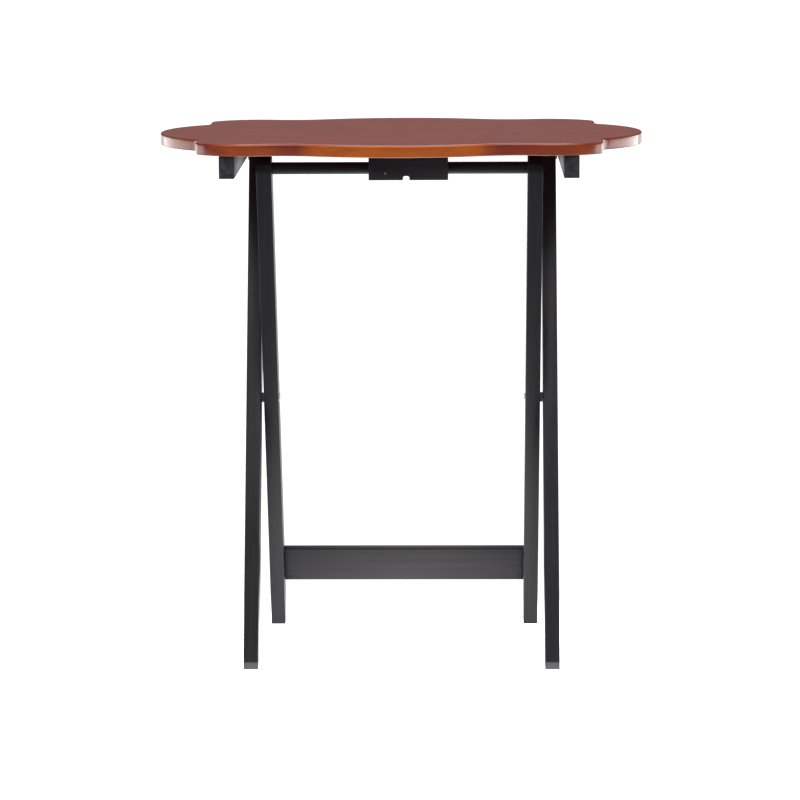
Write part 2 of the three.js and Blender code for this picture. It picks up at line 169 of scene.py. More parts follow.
def cherry_material():
    """Varnished cherry: red-brown on the faces, and amber on the middle stretch of the edge. That amber is
    painted light from the floor below; the random amber patches are the wood's own tone.
    """
    mat, nodes, shader = material("cherry_varnish")
    long_grain = nodes.stretched((3.0, 26.0, 26.0))
    wander = nodes.noise(long_grain, 1.6, 4.0, 0.55, 0.7)
    bands = nodes.noise(long_grain, 4.0, 5.0, 0.55, 1.2)
    face = nodes.ramp(bands, [
        (0.28, (0.225, 0.018, 0.006)),
        (0.46, (0.300, 0.025, 0.008)),
        (0.60, (0.350, 0.031, 0.009)),
        (0.76, (0.405, 0.040, 0.011)),
    ])
    face = nodes.mix(nodes.grey(wander, 0.62, 0.40, 0.0, 0.30), face, (0.165, 0.014, 0.007))
    parts = nodes.add("ShaderNodeSeparateXYZ", {0: nodes.add("ShaderNodeTexCoord").outputs["Object"]})
    along = nodes.maths("ABSOLUTE", parts.outputs["X"])
    broad = nodes.noise(nodes.stretched(PLAIN), 9.0, 2.0, 0.5)
    # Painted light: the middle stretch of the edge, front and back, is made amber as if lit from the floor
    # below.
    painted_glow_share = nodes.grey(along, 0.090, 0.125, 0.90, 0.0)
    amber_tone_and_glow = nodes.maths("ADD", painted_glow_share, nodes.grey(broad, 0.42, 0.62, -0.10, 0.40))
    rim = nodes.mix(nodes.grey(bands, 0.3, 0.7), (0.105, 0.0100, 0.0018), (0.165, 0.018, 0.0022))
    amber = nodes.mix(nodes.grey(bands, 0.3, 0.7), (0.235, 0.041, 0.0006), (0.315, 0.066, 0.0008))
    rim = nodes.mix(nodes.grey(amber_tone_and_glow, 0.0, 1.0), rim, amber)
    normal = nodes.add("ShaderNodeSeparateXYZ", {0: nodes.add("ShaderNodeNewGeometry").outputs["Normal"]})
    upright = nodes.maths("ABSOLUTE", normal.outputs["Z"])
    # Tilted surfaces take the darker rim colour. Up round the upper arris this is painted shade that tones
    # down its highlight.
    colour = nodes.mix(nodes.grey(upright, 0.88, 0.99), rim, face)
    pores = nodes.noise(nodes.stretched((14.0, 520.0, 520.0)), 1.0, 2.0, 0.7)
    colour = nodes.mix(nodes.grey(pores, 0.60, 0.78, 0.0, 0.40), colour, (0.055, 0.008, 0.004))
    # Painted highlight: the sharp arrises are made pale orange, standing in for their glint.
    edge = edge_wear_and_highlight(nodes, 0.54, 0.66)
    colour = nodes.mix(nodes.maths("MULTIPLY", edge, 0.22), colour, (0.60, 0.17, 0.06))
    roughness = nodes.grey(bands, 0.3, 0.7, 0.26, 0.18)
    height = nodes.maths("ADD", nodes.maths("MULTIPLY", bands, 0.35), nodes.maths("MULTIPLY", pores, -0.5))
    ripple = nodes.noise(nodes.stretched(PLAIN), 42.0, 2.0, 0.4)
    height = nodes.maths("ADD", height, nodes.maths("MULTIPLY", ripple, 0.9))
    bump = nodes.add("ShaderNodeBump", {"Height": height, "Strength": 0.07, "Distance": 0.0012})
    connect(nodes, shader, Base_Color=colour, Roughness=roughness, Normal=bump.outputs[0])
    coat_bump = nodes.add("ShaderNodeBump", {"Height": ripple, "Strength": 0.04, "Distance": 0.0015})
    nodes.tree.links.new(coat_bump.outputs[0], shader.inputs["Coat Normal"])
    shader.inputs["Specular IOR Level"].default_value = 0.30
    shader.inputs["Coat Weight"].default_value = 0.45
    shader.inputs["Coat Roughness"].default_value = 0.06
    return mat


def black_paint_material(name, along, painted_light_level=1.0, rough=0.36, lean=0.0, lighter_below=None):
    """Satin black paint over open-grained wood. The grain runs along one axis, leaned about X."""
    mat, nodes, shader = material(name)
    stretch = {"X": (4.0, 150.0, 150.0), "Y": (150.0, 4.0, 150.0), "Z": (150.0, 150.0, 4.0)}[along]
    fine = {"X": (16.0, 900.0, 900.0), "Y": (900.0, 16.0, 900.0), "Z": (900.0, 900.0, 16.0)}[along]
    streaks = nodes.noise(nodes.stretched(stretch, lean), 1.0, 5.0, 0.6, 0.5)
    pores = nodes.noise(nodes.stretched(fine, lean), 1.0, 2.0, 0.6)
    blotch = nodes.noise(nodes.stretched(PLAIN), 11.0, 3.0, 0.55)
    # The brightness factor scales the paint colours. The copies made lighter than the inner legs carry
    # painted light.
    dark = tuple(painted_light_level * v for v in (0.0022, 0.0022, 0.0027))
    light = tuple(painted_light_level * v for v in (0.0075, 0.0075, 0.0088))
    colour = nodes.mix(nodes.grey(streaks, 0.34, 0.66), dark, light)
    patch = tuple(painted_light_level * v for v in (0.0085, 0.0085, 0.0098))
    colour = nodes.mix(nodes.grey(blotch, 0.35, 0.70, 0.0, 0.5), colour, patch)
    colour = nodes.mix(nodes.grey(pores, 0.58, 0.75, 0.0, 0.6), colour, (0.0010, 0.0010, 0.0012))
    edge = edge_wear_and_highlight(nodes, 0.55, 0.70)
    colour = nodes.mix(nodes.maths("MULTIPLY", edge, 0.45), colour, (0.060, 0.058, 0.060))
    # Lighter below the given height, which takes in the toe facet.
    if lighter_below is not None:
        place = nodes.add("ShaderNodeSeparateXYZ", {0: nodes.add("ShaderNodeTexCoord").outputs["Object"]})
        lighter_share = nodes.grey(place.outputs["Z"], lighter_below, lighter_below - 0.0015, 0.0, 0.85)
        uneven = nodes.grey(blotch, 0.2, 0.5, 0.7, 1.0)
        colour = nodes.mix(nodes.maths("MULTIPLY", lighter_share, uneven), colour, (0.068, 0.067, 0.070))
    roughness = nodes.grey(streaks, 0.30, 0.70, rough + 0.05, rough - 0.05)
    peel = nodes.noise(nodes.stretched(PLAIN), 420.0, 2.0, 0.5)
    height = nodes.maths("ADD", nodes.maths("MULTIPLY", streaks, 0.8), nodes.maths("MULTIPLY", pores, -0.45))
    height = nodes.maths("ADD", height, nodes.maths("MULTIPLY", peel, 0.25))
    bump = nodes.add("ShaderNodeBump", {"Height": height, "Strength": 0.22, "Distance": 0.0005})
    connect(nodes, shader, Base_Color=colour, Roughness=roughness, Normal=bump.outputs[0])
    shader.inputs["Specular IOR Level"].default_value = 0.15
    shader.inputs["Specular Tint"].default_value = (1.0, 0.95, 1.0, 1.0)
    return mat


def metal_material(name, base, rough, scratch_scale=700.0):
    mat, nodes, shader = material(name)
    tarnish = nodes.noise(nodes.stretched(PLAIN), 160.0, 4.0, 0.6)
    scratches = nodes.noise(nodes.stretched((1.0, 7.0, 1.0)), scratch_scale, 3.0, 0.7)
    colour = nodes.mix(nodes.grey(tarnish, 0.35, 0.7), base, tuple(0.62 * v for v in base))
    edge = edge_wear_and_highlight(nodes, 0.52, 0.62)
    colour = nodes.mix(nodes.maths("MULTIPLY", edge, 0.6), colour, (0.78, 0.78, 0.77))
    roughness = nodes.grey(scratches, 0.3, 0.7, rough - 0.07, rough + 0.12)
    bump = nodes.add("ShaderNodeBump", {"Height": scratches, "Strength": 0.15, "Distance": 0.0001})
    connect(nodes, shader, Base_Color=colour, Roughness=roughness, Normal=bump.outputs[0])
    shader.inputs["Metallic"].default_value = 1.0
    return mat


def nylon_material():
    mat, nodes, shader = material("dark_nylon")
    mottle = nodes.noise(nodes.stretched(PLAIN), 240.0, 3.0, 0.55)
    colour = nodes.mix(nodes.grey(mottle, 0.3, 0.7), (0.050, 0.050, 0.054), (0.085, 0.085, 0.09))
    edge = edge_wear_and_highlight(nodes, 0.52, 0.64)
    colour = nodes.mix(nodes.maths("MULTIPLY", edge, 0.5), colour, (0.17, 0.17, 0.175))
    roughness = nodes.grey(mottle, 0.3, 0.7, 0.44, 0.58)
    bump = nodes.add("ShaderNodeBump", {"Height": mottle, "Strength": 0.2, "Distance": 0.0002})
    connect(nodes, shader, Base_Color=colour, Roughness=roughness, Normal=bump.outputs[0])
    return mat


CHERRY = cherry_material()
# These black paint copies differ only in brightness. The outer legs, rails, stretcher, battens and block are
# made lighter as painted light, standing in for how brightly they are lit.
BLACK_OUTER = black_paint_material("black_paint_outer_legs", "Z", 1.6, lean=LEAN, lighter_below=TOE_FACET)
BLACK_INNER = black_paint_material("black_paint_inner_legs", "Z", lean=-LEAN)
BLACK_STRETCHER = black_paint_material("black_paint_stretcher", "X", 1.1, lean=-LEAN)
BLACK_X = black_paint_material("black_paint_rails", "X", 1.1)
BLACK_Y = black_paint_material("black_paint_battens", "Y", 4.4)
BLACK_BLOCK = black_paint_material("black_paint_block", "X", 2.6, 0.42)
ZINC = metal_material("zinc_plated_steel", (0.40, 0.40, 0.40), 0.36)
DARK_ZINC = metal_material("dulled_steel", (0.17, 0.16, 0.15), 0.42)
SPRING = metal_material("spring_strip_steel", (0.52, 0.53, 0.55), 0.24, 420.0)
NYLON = nylon_material()


# ---------------------------------------------------------------- mesh helpers

def piece(name, mesh_builder, mat, body, nodes, matrix=Matrix.Identity(4)):
    """A new piece whose mesh is drawn by mesh_builder and then put in place by matrix."""
    bm = bmesh.new()
    mesh_builder(bm)
    bm.transform(matrix)
    bmesh.ops.recalc_face_normals(bm, faces=bm.faces)
    mesh = bpy.data.meshes.new(name)
    bm.to_mesh(mesh)
    bm.free()
    mesh.materials.append(mat)
    mesh.shade_smooth()
    mesh.set_sharp_from_angle(angle=math.radians(SMOOTH_ANGLE))
    obj = bpy.data.objects.new(name, mesh)
    bpy.context.scene.collection.objects.link(obj)
    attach(obj, body)
    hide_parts(*nodes)
    return obj


def extrude_polygon(bm, points, low, high, place):
    """A closed outline carried from low to high. place turns (u, v, w) into a position."""
    first = [bm.verts.new(place(u, v, low)) for u, v in points]
    second = [bm.verts.new(place(u, v, high)) for u, v in points]
    bm.faces.new(first)
    bm.faces.new(second)
    count = len(points)
    for i in range(count):
        bm.faces.new((first[i], first[(i + 1) % count], second[(i + 1) % count], second[i]))
    bmesh.ops.recalc_face_normals(bm, faces=bm.faces)


def bevel_sharp(bm, width, segments=3, limit=28.0):
    folds = [e for e in bm.edges if len(e.link_faces) == 2]
    sharp = [e for e in folds if math.degrees(e.calc_face_angle()) > limit]
    bmesh.ops.bevel(
        bm, geom=sharp, offset=width, segments=segments, profile=0.5, affect="EDGES", clamp_overlap=True,
    )


def sharp_box(bm, low, high):
    points = [(low[0], low[1]), (high[0], low[1]), (high[0], high[1]), (low[0], high[1])]
    extrude_polygon(bm, points, low[2], high[2], lambda u, v, w: (u, v, w))


def box_mesh(bm, low, high, width):
    sharp_box(bm, low, high)
    bevel_sharp(bm, width)


def turn_angles(segments):
    return [2.0 * math.pi * i / segments for i in range(segments)]


def skin(bm, rings, capped=True):
    """Joins each ring of vertices to the next one, and closes the first and the last."""
    for one, two in zip(rings, rings[1:]):
        count = len(one)
        for i in range(count):
            bm.faces.new((one[i], one[(i + 1) % count], two[(i + 1) % count], two[i]))
    if capped:
        bm.faces.new(rings[0])
        bm.faces.new(rings[-1])


def carve(obj, cutters, matrix=Matrix.Identity(4)):
    """Takes the cutter meshes away from obj and keeps the result as obj's own mesh."""
    for number, build in enumerate(cutters):
        bm = bmesh.new()
        build(bm)
        bm.transform(matrix)
        bmesh.ops.recalc_face_normals(bm, faces=bm.faces)
        mesh = bpy.data.meshes.new(f"{obj.name}_cutter_{number}")
        bm.to_mesh(mesh)
        bm.free()
        cutter = bpy.data.objects.new(mesh.name, mesh)
        bpy.context.scene.collection.objects.link(cutter)
        modifier = obj.modifiers.new("carve", "BOOLEAN")
        modifier.operation = "DIFFERENCE"
        modifier.solver = "EXACT"
        modifier.object = cutter
        bpy.context.view_layer.update()
        depsgraph = bpy.context.evaluated_depsgraph_get()
        result = bpy.data.meshes.new_from_object(obj.evaluated_get(depsgraph))
        obj.modifiers.clear()
        obj.data = result
        bpy.data.objects.remove(cutter)
    obj.data.shade_smooth()
    obj.data.set_sharp_from_angle(angle=math.radians(SMOOTH_ANGLE))


def cylinder(bm, radius, low, high, axis, centre=(0.0, 0.0), segments=48, edge=0.0):
    """A round bar along X, Y or Z with eased ends."""
    steps = [(radius - edge, low), (radius, low + edge), (radius, high - edge), (radius - edge, high)]
    if edge == 0.0:
        steps = [(radius, low), (radius, high)]
    rings = []
    for r, along in steps:
        ring = []
        for angle in turn_angles(segments):
            a = centre[0] + r * math.cos(angle)
            b = centre[1] + r * math.sin(angle)
            ring.append(bm.verts.new({"X": (along, a, b), "Y": (a, along, b), "Z": (a, b, along)}[axis]))
        rings.append(ring)
    skin(bm, rings)


def ring_mesh(bm, outer, inner, low, high, segments=48, edge=0.0002):
    """A washer along X with eased rims."""
    profile = [
        (inner, low + edge), (inner + edge, low), (outer - edge, low), (outer, low + edge),
        (outer, high - edge), (outer - edge, high), (inner + edge, high), (inner, high - edge),
    ]
    angles = turn_angles(segments)
    rings = [[bm.verts.new((x, r * math.cos(a), r * math.sin(a))) for a in angles] for r, x in profile]
    skin(bm, rings + rings[:1], capped=False)


def cross_head(bm, radius, height, shank_radius, length):
    """A domed screw with a pressed cross recess. Its head faces -Z, and its point is at z = length."""
    segments = 64
    rings = []
    centre_depth = height * 0.62
    angles = turn_angles(segments)

    def dip(x, y):
        arm = radius * 0.62
        half = radius * 0.13
        near_x = max(0.0, 1.0 - max(0.0, abs(y) - half) / (radius * 0.07)) if abs(x) < arm else 0.0
        near_y = max(0.0, 1.0 - max(0.0, abs(x) - half) / (radius * 0.07)) if abs(y) < arm else 0.0
        fade = max(0.0, 1.0 - math.hypot(x, y) / (arm * 1.05)) ** 0.5
        return centre_depth * max(near_x, near_y) * fade

    shares = [0.08, 0.16, 0.24, 0.32, 0.40, 0.48, 0.56, 0.64, 0.72, 0.82, 0.91, 0.97, 1.0]
    for share in shares:
        r = radius * share
        dome = -height * (1.0 - share ** 3.2)
        ring = []
        for angle in angles:
            x, y = r * math.cos(angle), r * math.sin(angle)
            ring.append(bm.verts.new((x, y, dome + dip(x, y))))
        rings.append(ring)
    shank = ((shank_radius, 0.0), (shank_radius, length - 2.5 * shank_radius), (shank_radius * 0.1, length))
    for r, z in shank:
        rings.append([bm.verts.new((r * math.cos(a), r * math.sin(a), z)) for a in angles])
    tip = bm.verts.new((0.0, 0.0, -height + centre_depth))
    for i in range(segments):
        bm.faces.new((tip, rings[0][i], rings[0][(i + 1) % segments]))
    skin(bm, rings, capped=False)
    bm.faces.new(rings[-1])


# ---------------------------------------------------------------- the top

TOP_LOW, TOP_HIGH = (Vector(v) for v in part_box("tabletop"))
HALF_WIDTH = TOP_HIGH.x
HALF_DEPTH = TOP_HIGH.y
STEP_X = 0.2485
CORNER_RADIUS = 0.016
CORNER_LOBE_X = 0.188
HOLLOW_Y = 0.1745


def arc(cx, cy, radius, start, end, segments):
    angles = [start + (end - start) * i / segments for i in range(segments + 1)]
    return [(cx + radius * math.cos(a), cy + radius * math.sin(a)) for a in angles]


def quarter_outline():
    """From the middle of the side lobe round to the middle of the back edge."""
    side_radius, notch_radius, lobe_radius = 0.1265, 0.018, 0.076
    centre_radius, hollow_radius = 0.270, 0.110
    side_x = HALF_WIDTH - side_radius
    notch_x = STEP_X + notch_radius
    notch_y = math.sqrt((side_radius + notch_radius) ** 2 - (notch_x - side_x) ** 2)
    side_end = math.atan2(notch_y, notch_x - side_x)
    centre_y = HALF_DEPTH - centre_radius
    hollow_y = HOLLOW_Y + hollow_radius
    hollow_x = math.sqrt((centre_radius + hollow_radius) ** 2 - (hollow_y - centre_y) ** 2)
    centre_end = math.atan2(hollow_y - centre_y, hollow_x)
    lobe_x = CORNER_LOBE_X
    lobe_y = hollow_y - math.sqrt((hollow_radius + lobe_radius) ** 2 - (lobe_x - hollow_x) ** 2)
    lobe_end = math.atan2(hollow_y - lobe_y, hollow_x - lobe_x)
    corner_x = STEP_X - CORNER_RADIUS
    corner_y = lobe_y + math.sqrt((lobe_radius - CORNER_RADIUS) ** 2 - (corner_x - lobe_x) ** 2)
    corner_end = math.atan2(corner_y - lobe_y, corner_x - lobe_x)
    return (
        arc(side_x, 0.0, side_radius, 0.0, side_end, 40)
        + arc(notch_x, notch_y, notch_radius, side_end - math.pi, -math.pi, 12)[1:]
        + arc(corner_x, corner_y, CORNER_RADIUS, 0.0, corner_end, 14)
        + arc(lobe_x, lobe_y, lobe_radius, corner_end, lobe_end, 32)[1:]
        + arc(hollow_x, hollow_y, hollow_radius, lobe_end - math.pi, centre_end - math.pi, 24)[1:]
        + arc(0.0, centre_y, centre_radius, centre_end, math.pi / 2, 24)[1:]
    )


def top_outline():
    quarter = quarter_outline()
    back = quarter + [(-x, y) for x, y in reversed(quarter[:-1])]
    return back + [(x, -y) for x, y in reversed(back[1:-1])]


def inset_outline(points, inset):
    count = len(points)
    result = []
    for i, (x, y) in enumerate(points):
        before, after = points[i - 1], points[(i + 1) % count]
        tangent = Vector((after[0] - before[0], after[1] - before[1])).normalized()
        result.append((x - tangent.y * inset, y + tangent.x * inset))
    return result


def top_mesh(bm):
    """A board with well rounded arrises. The rings go up the edge, from the underside to the upper face."""
    points = top_outline()
    lower, upper = 0.0018, 0.0024
    profile = []
    for i in range(5):
        angle = math.pi / 2 * i / 4
        profile.append((lower * (1 - math.sin(angle)), TOP_LOW.z + lower * (1 - math.cos(angle))))
    for i in range(7):
        angle = math.pi / 2 * i / 6
        profile.append((upper * (1 - math.cos(angle)), TOP_HIGH.z - upper * (1 - math.sin(angle))))
    rings = []
    for inset, z in profile:
        rings.append([bm.verts.new((x, y, z)) for x, y in inset_outline(points, inset)])
    skin(bm, rings)


top = piece("top_board", top_mesh, CHERRY, "tabletop", ["tabletop"])
# The two broad faces are flat
for face in top.data.polygons:
    if len(face.vertices) > 4:
        face.use_smooth = False


# ---------------------------------------------------------------- battens and catch block

SOCKET_REACH = (0.199, 0.212)
BATTEN_BEVEL = 0.0011


def wood_screw(bm):
    cross_head(bm, **WOOD_SCREW)


def pocket(x, y, bottom, seat):
    """The counterbore over a wood screw that goes up into a piece."""
    return lambda bm: cylinder(bm, SCREW_POCKET_RADIUS, bottom - 2 * OVERRUN, seat, "Z", (x, y), 40)


def batten_builder(low, high):
    return lambda bm: box_mesh(bm, low, high, BATTEN_BEVEL)


for side, sign in SIDES.items():
    low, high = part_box(f"batten_{side}")
    batten = piece(f"batten_{side}_bar", batten_builder(low, high), BLACK_Y, "tabletop",
                   [f"batten_{side}"])
    cutters = []
    for place in ("front", "middle", "rear"):
        node = f"batten_screw_{side}_{place}"
        s_low, s_high = (Vector(v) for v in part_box(node))
        x, y = (s_low.x + s_high.x) / 2, (s_low.y + s_high.y) / 2
        seat = s_low.z + WOOD_SCREW["height"]
        cutters.append(pocket(x, y, low[2], seat))
        piece(f"{node}_head", wood_screw, ZINC, "tabletop", [node],
              Matrix.Translation((x, y, seat)))
    socket_low, socket_high = sorted(sign * x for x in SOCKET_REACH)
    rod_place = (REAR_ROD.y, REAR_ROD.z)
    cutters.append(lambda bm: cylinder(bm, ROD_RADIUS + GAP, socket_low, socket_high, "X", rod_place, 48))
    carve(batten, cutters)

BLOCK_LOW, BLOCK_HIGH = (Vector(v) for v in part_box("catch_block"))
CLIP_LOW, CLIP_HIGH = (Vector(v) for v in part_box("spring_clip"))
CLIP_X = (CLIP_LOW.x + CLIP_HIGH.x) / 2
CLIP_HALF_THICKNESS = 0.0004
CHANNEL_HALF_WIDTH = 0.004
CHANNEL_DEPTH = 0.004
STOP_Y = -REAR_ROD.y - ROD_RADIUS - GAP
SEAT_Z = REAR_ROD.z + ROD_RADIUS + GAP


def block_mesh(bm):
    points = [
        (BLOCK_LOW.y, BLOCK_LOW.z), (STOP_Y, BLOCK_LOW.z), (STOP_Y, SEAT_Z),
        (BLOCK_HIGH.y, SEAT_Z), (BLOCK_HIGH.y, BLOCK_HIGH.z), (BLOCK_LOW.y, BLOCK_HIGH.z),
    ]
    extrude_polygon(bm, points, BLOCK_LOW.x, BLOCK_HIGH.x, lambda u, v, w: (w, u, v))
    bevel_sharp(bm, 0.0010)


def notch_mesh(bm):
    """The notch under the block: straight sides and a round top."""
    half, spring_line, steps = CHANNEL_HALF_WIDTH, 0.002, 16
    points = [(-half, -OVERRUN), (half, -OVERRUN)] + arc(0.0, spring_line, half, 0.0, math.pi, steps)
    extrude_polygon(bm, points, BLOCK_LOW.y - OVERRUN, STOP_Y + 0.001,
                    lambda u, v, w: (CLIP_X + u, w, BLOCK_LOW.z + v))


def channel_mesh(bm):
    """The slot across the block that the spring clip stands in."""
    low = (CLIP_X - CHANNEL_HALF_WIDTH, STOP_Y - CHANNEL_DEPTH, BLOCK_LOW.z - OVERRUN)
    high = (CLIP_X + CHANNEL_HALF_WIDTH, BLOCK_HIGH.y + OVERRUN, CLIP_HIGH.z + GAP)
    sharp_box(bm, low, high)


block = piece("catch_block_body", block_mesh, BLACK_BLOCK, "tabletop", ["catch_block"])
cutters = [notch_mesh, channel_mesh]
for side in SIDES:
    node = f"catch_block_screw_{side}"
    s_low, s_high = (Vector(v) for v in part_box(node))
    x, y = (s_low.x + s_high.x) / 2, (s_low.y + s_high.y) / 2
    seat = s_low.z + WOOD_SCREW["height"]
    cutters.append(pocket(x, y, BLOCK_LOW.z, seat))
    piece(f"{node}_head", wood_screw, ZINC, "tabletop", [node],
          Matrix.Translation((x, y, seat)))
brad_low, brad_high = (Vector(v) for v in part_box("catch_block_brad"))
BRAD_X, BRAD_Z = (brad_low.x + brad_high.x) / 2, (brad_low.z + brad_high.z) / 2
BRAD_SEAT_RADIUS, BRAD_SEAT_DEPTH = 0.0021, 0.001


def brad_seat(bm):
    start, end = BLOCK_LOW.y - OVERRUN, BLOCK_LOW.y + BRAD_SEAT_DEPTH
    cylinder(bm, BRAD_SEAT_RADIUS, start, end, "Y", (BRAD_X, BRAD_Z), 32)


carve(block, cutters + [brad_seat])


def brad_mesh(bm):
    """A small domed brad head and its pin."""
    profile = [(0.0003, brad_low.y), (0.0011, brad_low.y + 0.00012), (0.0016, brad_low.y + 0.0004),
               (0.0018, brad_low.y + 0.0008), (0.0010, brad_low.y + 0.0008), (0.0010, brad_high.y)]
    rings = []
    for r, y in profile:
        ring = [(BRAD_X + r * math.cos(a), y, BRAD_Z + r * math.sin(a)) for a in turn_angles(32)]
        rings.append([bm.verts.new(p) for p in ring])
    skin(bm, rings)


piece("catch_block_brad_head", brad_mesh, DARK_ZINC, "tabletop", ["catch_block_brad"])


def clip_line():
    """The spring strip's middle line round the front rod, from the front lip over the rod to the rear lip."""
    web = [(0.0, 0.0100), (0.0030, 0.0100), (0.0050, 0.0098), (0.0068, 0.0088), (0.0080, 0.0072)]
    arm = [(0.0088, 0.0052), (0.0092, 0.0030), (0.0093, 0.0005), (0.0091, -0.0020), (0.0086, -0.0038)]
    lip = [(0.0083, -0.0048), (0.0085, -0.0060), (0.0092, -0.0072), (0.0101, -0.0083), (0.0110, -0.0094)]
    half = web + arm + lip
    return [(-y, z) for y, z in reversed(half[1:])] + half


def clip_mesh(bm):
    line = [Vector(p) for p in clip_line()]
    upper, lower = [], []
    for i, point in enumerate(line):
        along = (line[min(i + 1, len(line) - 1)] - line[max(i - 1, 0)]).normalized()
        normal = Vector((-along.y, along.x))
        upper.append(point + CLIP_HALF_THICKNESS * normal)
        lower.append(point - CLIP_HALF_THICKNESS * normal)
    outline = [(p.x, p.y) for p in upper + list(reversed(lower))]
    extrude_polygon(bm, outline, CLIP_LOW.x, CLIP_HIGH.x,
                    lambda u, v, w: (w, -REAR_ROD.y + u, REAR_ROD.z + v))
    bevel_sharp(bm, 0.00012, 2, 50.0)


piece("spring_clip_strip", clip_mesh, SPRING, "tabletop", ["spring_clip"])
c_low, c_high = (Vector(v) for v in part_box("spring_clip_screw"))
clip_seat = Vector(((c_low.x + c_high.x) / 2, (c_low.y + c_high.y) / 2, c_low.z + SMALL_SCREW["height"]))
piece("spring_clip_screw_head", lambda bm: cross_head(bm, **SMALL_SCREW), ZINC, "tabletop",
      ["spring_clip_screw"], Matrix.Translation(clip_seat))


# ---------------------------------------------------------------- leg frames, drawn upright about the pivot

OUTER = Matrix.Translation(PIVOT) @ Matrix.Rotation(-LEAN, 4, "X")
INNER = Matrix.Translation(PIVOT) @ Matrix.Rotation(LEAN, 4, "X")
AT_ROD = Matrix.Translation((0.0, 0.0, ROD_REACH))


def leg_outline(toe):
    """Side view (y, z). toe is -1 where the toe points forward and 1 where it points back."""
    half = LEG_HALF_WIDTH

    def floor(reach):
        return (-PIVOT.z - reach * math.sin(LEAN)) / math.cos(LEAN)

    facet_top = floor(half) + TOE_FACET / math.cos(LEAN)
    inset = TOE_FACET * math.sin(LEAN)
    steps = 28
    angles = [math.pi * i / steps for i in range(steps + 1)]
    crown = [(toe * half * -math.cos(a), ROD_REACH + half * math.sin(a)) for a in angles]
    toe_end = [(toe * half, facet_top), (toe * (half - inset), floor(half - inset))]
    return [(-toe * half, floor(-half))] + crown + toe_end


def leg_builder(toe, low, high):
    def build(bm):
        extrude_polygon(bm, leg_outline(toe), low, high, lambda u, v, w: (w, u, v))
        bevel_sharp(bm, LEG_BEVEL)
    return build


def x_range(node):
    low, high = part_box(node)
    return low[0], high[0]


def turned(matrix, sign, x):
    """Places a mesh drawn along +Z at the pivot so that its +Z runs outward along X."""
    return matrix @ Matrix.Translation((sign * x, 0.0, 0.0)) @ Matrix.Rotation(sign * math.pi / 2, 4, "Y")


OUTER_FACE = x_range("outer_leg_right")[1]
INNER_FACE = x_range("inner_leg_right")[1]
INNER_LEG_INSIDE = x_range("inner_leg_right")[0]
SCREW_SINK = 0.003
BOLT_SEAT_RADIUS, BOLT_SEAT_DEPTH = 0.0053, 0.0006
SPACER_RADII = (0.0062, 0.0033)
REAR_WASHER_RADII = (0.0130, ROD_RADIUS + GAP)
ROD_BEVEL = 0.0006
STRETCHER_HALF_THICKNESS = 0.005
STRETCHER_HALF_WIDTH = 0.024
STRETCHER_BEVEL = 0.0008


def bolt_mesh(bm):
    """A low domed bolt head with a hexagon socket, and its shank along +Z."""
    radius, height, socket, depth = 0.0052, 0.0014, 0.002128, 0.0010
    angles = turn_angles(48)

    def hexagon(a):
        sector = (a % (math.pi / 3)) - math.pi / 6
        return socket * math.cos(math.pi / 6) / math.cos(sector)

    rings = [
        [(hexagon(a) * math.cos(a), hexagon(a) * math.sin(a), -height + depth) for a in angles],
        [(hexagon(a) * math.cos(a), hexagon(a) * math.sin(a), -height) for a in angles],
    ]
    for share, drop in ((0.55, 0.0), (0.75, 0.05), (0.88, 0.16), (0.96, 0.38), (1.0, 0.66)):
        r, z = share * radius, -height * (1 - drop)
        rings.append([(r * math.cos(a), r * math.sin(a), z) for a in angles])
    shank_radius, point_radius, point_length, end_gap = 0.003, 0.0022, 0.001, 0.005
    length = OUTER_FACE - INNER_LEG_INSIDE - end_gap
    shank = ((shank_radius, 0.0), (shank_radius, length - point_length), (point_radius, length))
    for r, z in ((radius, 0.0), *shank):
        rings.append([(r * math.cos(a), r * math.sin(a), z) for a in angles])
    skin(bm, [[bm.verts.new(p) for p in ring] for ring in rings])


def nut_mesh(length):
    """A sleeve nut along +Z: its closed end is slightly domed and has a wide slot."""
    radius, slot_half_width, slot_slope, slot_reach, slot_depth = 0.005, 0.0004, 0.00025, 0.0042, 0.0007

    def slot(x, y):
        inside = max(0.0, 1.0 - max(0.0, abs(y) - slot_half_width) / slot_slope)
        return slot_depth * inside if abs(x) < slot_reach else 0.0

    def build(bm):
        angles = turn_angles(48)
        made = [[bm.verts.new((radius * math.cos(a), radius * math.sin(a), z)) for a in angles]
                for z in (0.0, length - 0.0004)]
        for share in (0.96, 0.88, 0.76, 0.64, 0.52, 0.40, 0.28, 0.16, 0.06):
            ring = []
            for a in angles:
                x, y = radius * share * math.cos(a), radius * share * math.sin(a)
                ring.append(bm.verts.new((x, y, length - slot(x, y))))
            made.append(ring)
        skin(bm, made)
    return build


